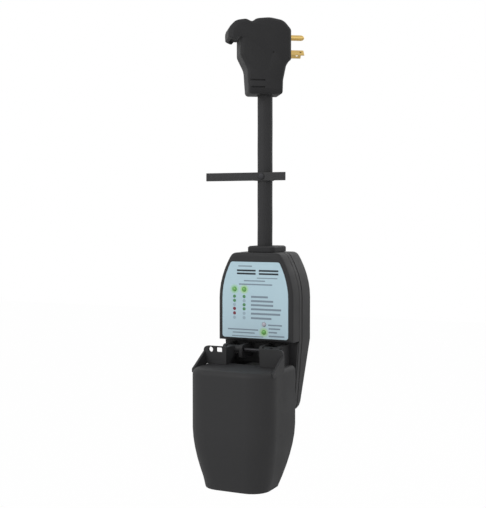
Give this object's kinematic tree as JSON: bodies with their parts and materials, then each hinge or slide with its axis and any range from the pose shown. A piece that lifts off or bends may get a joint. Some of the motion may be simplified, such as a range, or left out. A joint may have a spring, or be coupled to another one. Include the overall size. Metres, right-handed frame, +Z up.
{
  "type": "surge protector plug",
  "caption": "Portable surge protector for a caravan: right-angle plug with a finger hook, short thick cord, hanging box with status label, hinged rain hood over its outlet",
  "frame": {"origin": "the middle of the plug's flat face, where the plug seats on an outlet", "axes": "+Z up along the hanging cord; the label and hood face -Y; the prongs point between +X and +Y"},
  "size_m": [0.1205, 0.1396, 0.5271],
  "materials": {
    "case_plastic": "fine moulded texture, charcoal",
    "plug_vinyl": "moulded vinyl, charcoal",
    "face_plastic": "smooth, black",
    "cord_jacket": "smooth cord jacket, charcoal",
    "strap_webbing": "woven strap, dark grey",
    "seal_rubber": "soft seal, black",
    "brass": "plain brass",
    "steel": "zinc plated",
    "label_vinyl": "satin label, pale blue",
    "lamp_lens": "tinted lens",
    "board_laminate": "green laminate",
    "varistor_ceramic": "dipped coating, blue",
    "fuse_shell": "plated can",
    "block_plastic": "moulded, green",
    "wire_black": "wire insulation",
    "wire_white": "wire insulation",
    "wire_green": "wire insulation"
  },
  "bodies": {
    "box": {"board_screw_bottom_left": "steel", "board_screw_bottom_right": "steel", "board_screw_top_left": "steel", "board_screw_top_right": "steel", "bracket_screw_left": "steel", "bracket_screw_right": "steel", "circuit_board": "board_laminate", "clamp_screw_left": "steel", "clamp_screw_right": "steel", "cord_clamp": "case_plastic", "cord_gland": "seal_rubber", "earth_contact": "brass", "earth_lead": "wire_green", "earth_pin": "brass", "fault_lamp": "lamp_lens", "front_shell": "case_plastic", "hinge_bracket": "case_plastic", "hinge_pin": "steel", "housing_screw_lower_left": "steel", "housing_screw_lower_right": "steel", "housing_screw_middle_left": "steel", "housing_screw_middle_right": "steel", "housing_screw_upper_left": "steel", "housing_screw_upper_right": "steel", "label_panel": "label_vinyl", "line_blade": "brass", "line_contact": "brass", "line_lead": "wire_black", "neutral_blade": "brass", "neutral_contact": "brass", "neutral_lead": "wire_white", "outlet_body": "face_plastic", "outlet_gasket": "seal_rubber", "outlet_screw_left": "steel", "outlet_screw_right": "steel", "pin_clip": "steel", "plug_body": "plug_vinyl", "plug_face": "face_plastic", "power_cord": "cord_jacket", "rear_shell": "case_plastic", "shell_gasket": "seal_rubber", "status_lamp_left": "lamp_lens", "status_lamp_right": "lamp_lens", "surge_lamp": "lamp_lens", "terminal_block": "block_plastic", "thermal_fuse_line_to_earth": "fuse_shell", "thermal_fuse_line_to_neutral": "fuse_shell", "thermal_fuse_neutral_to_earth": "fuse_shell", "varistor_line_to_earth": "varistor_ceramic", "varistor_line_to_neutral": "varistor_ceramic", "varistor_neutral_to_earth": "varistor_ceramic"},
    "hood": {"rain_hood": "case_plastic", "hinge_lug_left": "case_plastic", "hinge_lug_right": "case_plastic"},
    "strap": {"cord_strap": "strap_webbing", "strap_rivet": "steel"}
  },
  "joints": [
    {"name": "hood_hinge", "type": "hinge", "parent": "box", "child": "hood", "pos_m": [-0.02306, -0.04998, -0.351], "axis": [-1, 0, 0], "range_deg": [0, 90]},
    {"name": "strap_slide", "type": "slide", "parent": "box", "child": "strap", "axis": [0, 0, 1], "range_m": [-0.07, 0.08]}
  ]
}
